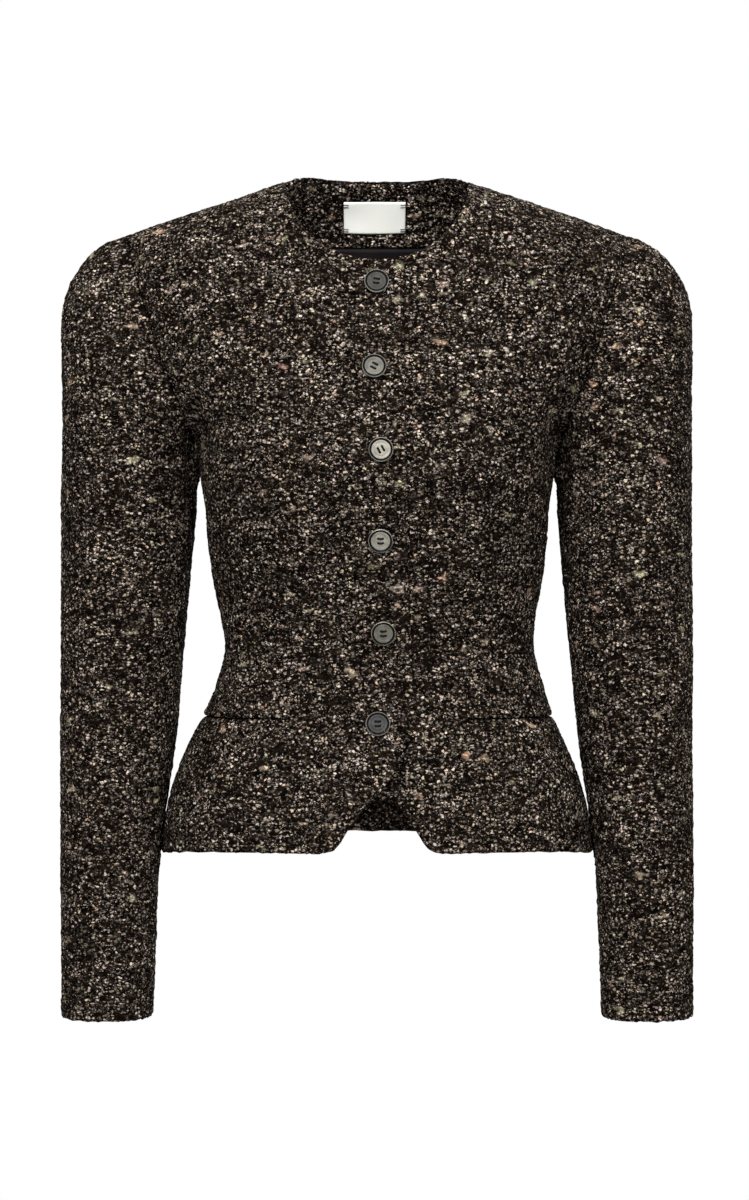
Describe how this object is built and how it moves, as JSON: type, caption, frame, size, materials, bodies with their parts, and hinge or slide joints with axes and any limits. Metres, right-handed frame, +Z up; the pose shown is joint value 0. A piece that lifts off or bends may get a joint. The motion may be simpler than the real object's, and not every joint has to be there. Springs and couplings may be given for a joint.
{
  "type": "peplum jacket",
  "caption": "Short fitted round-neck tweed jacket with a cut-away peplum, long set-in sleeves and six buttons, filled out with no wearer.",
  "frame": {"origin": "middle of the neck opening, level with the sides of the neck, between the two shoulder seams", "axes": "+Z up towards the neck, -Y out of the front with the buttons, +X towards the wearer's left sleeve"},
  "size_m": [0.504, 0.2579, 0.6709],
  "materials": {
    "tweed": "matte",
    "lining": "satin",
    "label": "satin",
    "button": "gloss"
  },
  "bodies": {
    "root": {"back_left": "tweed", "back_right": "tweed", "front_left": "tweed", "front_right": "tweed", "peplum_back": "tweed", "peplum_front_left": "tweed", "peplum_front_right": "tweed", "side_front_left": "tweed", "side_front_right": "tweed", "under_sleeve_left": "tweed", "under_sleeve_right": "tweed", "upper_sleeve_left": "tweed", "upper_sleeve_right": "tweed", "neck_facing": "tweed", "lining_back": "lining", "label": "label", "button_1": "button", "button_2": "button", "button_3": "button", "button_4": "button", "button_5": "button", "button_6": "button"}
  },
  "joints": []
}
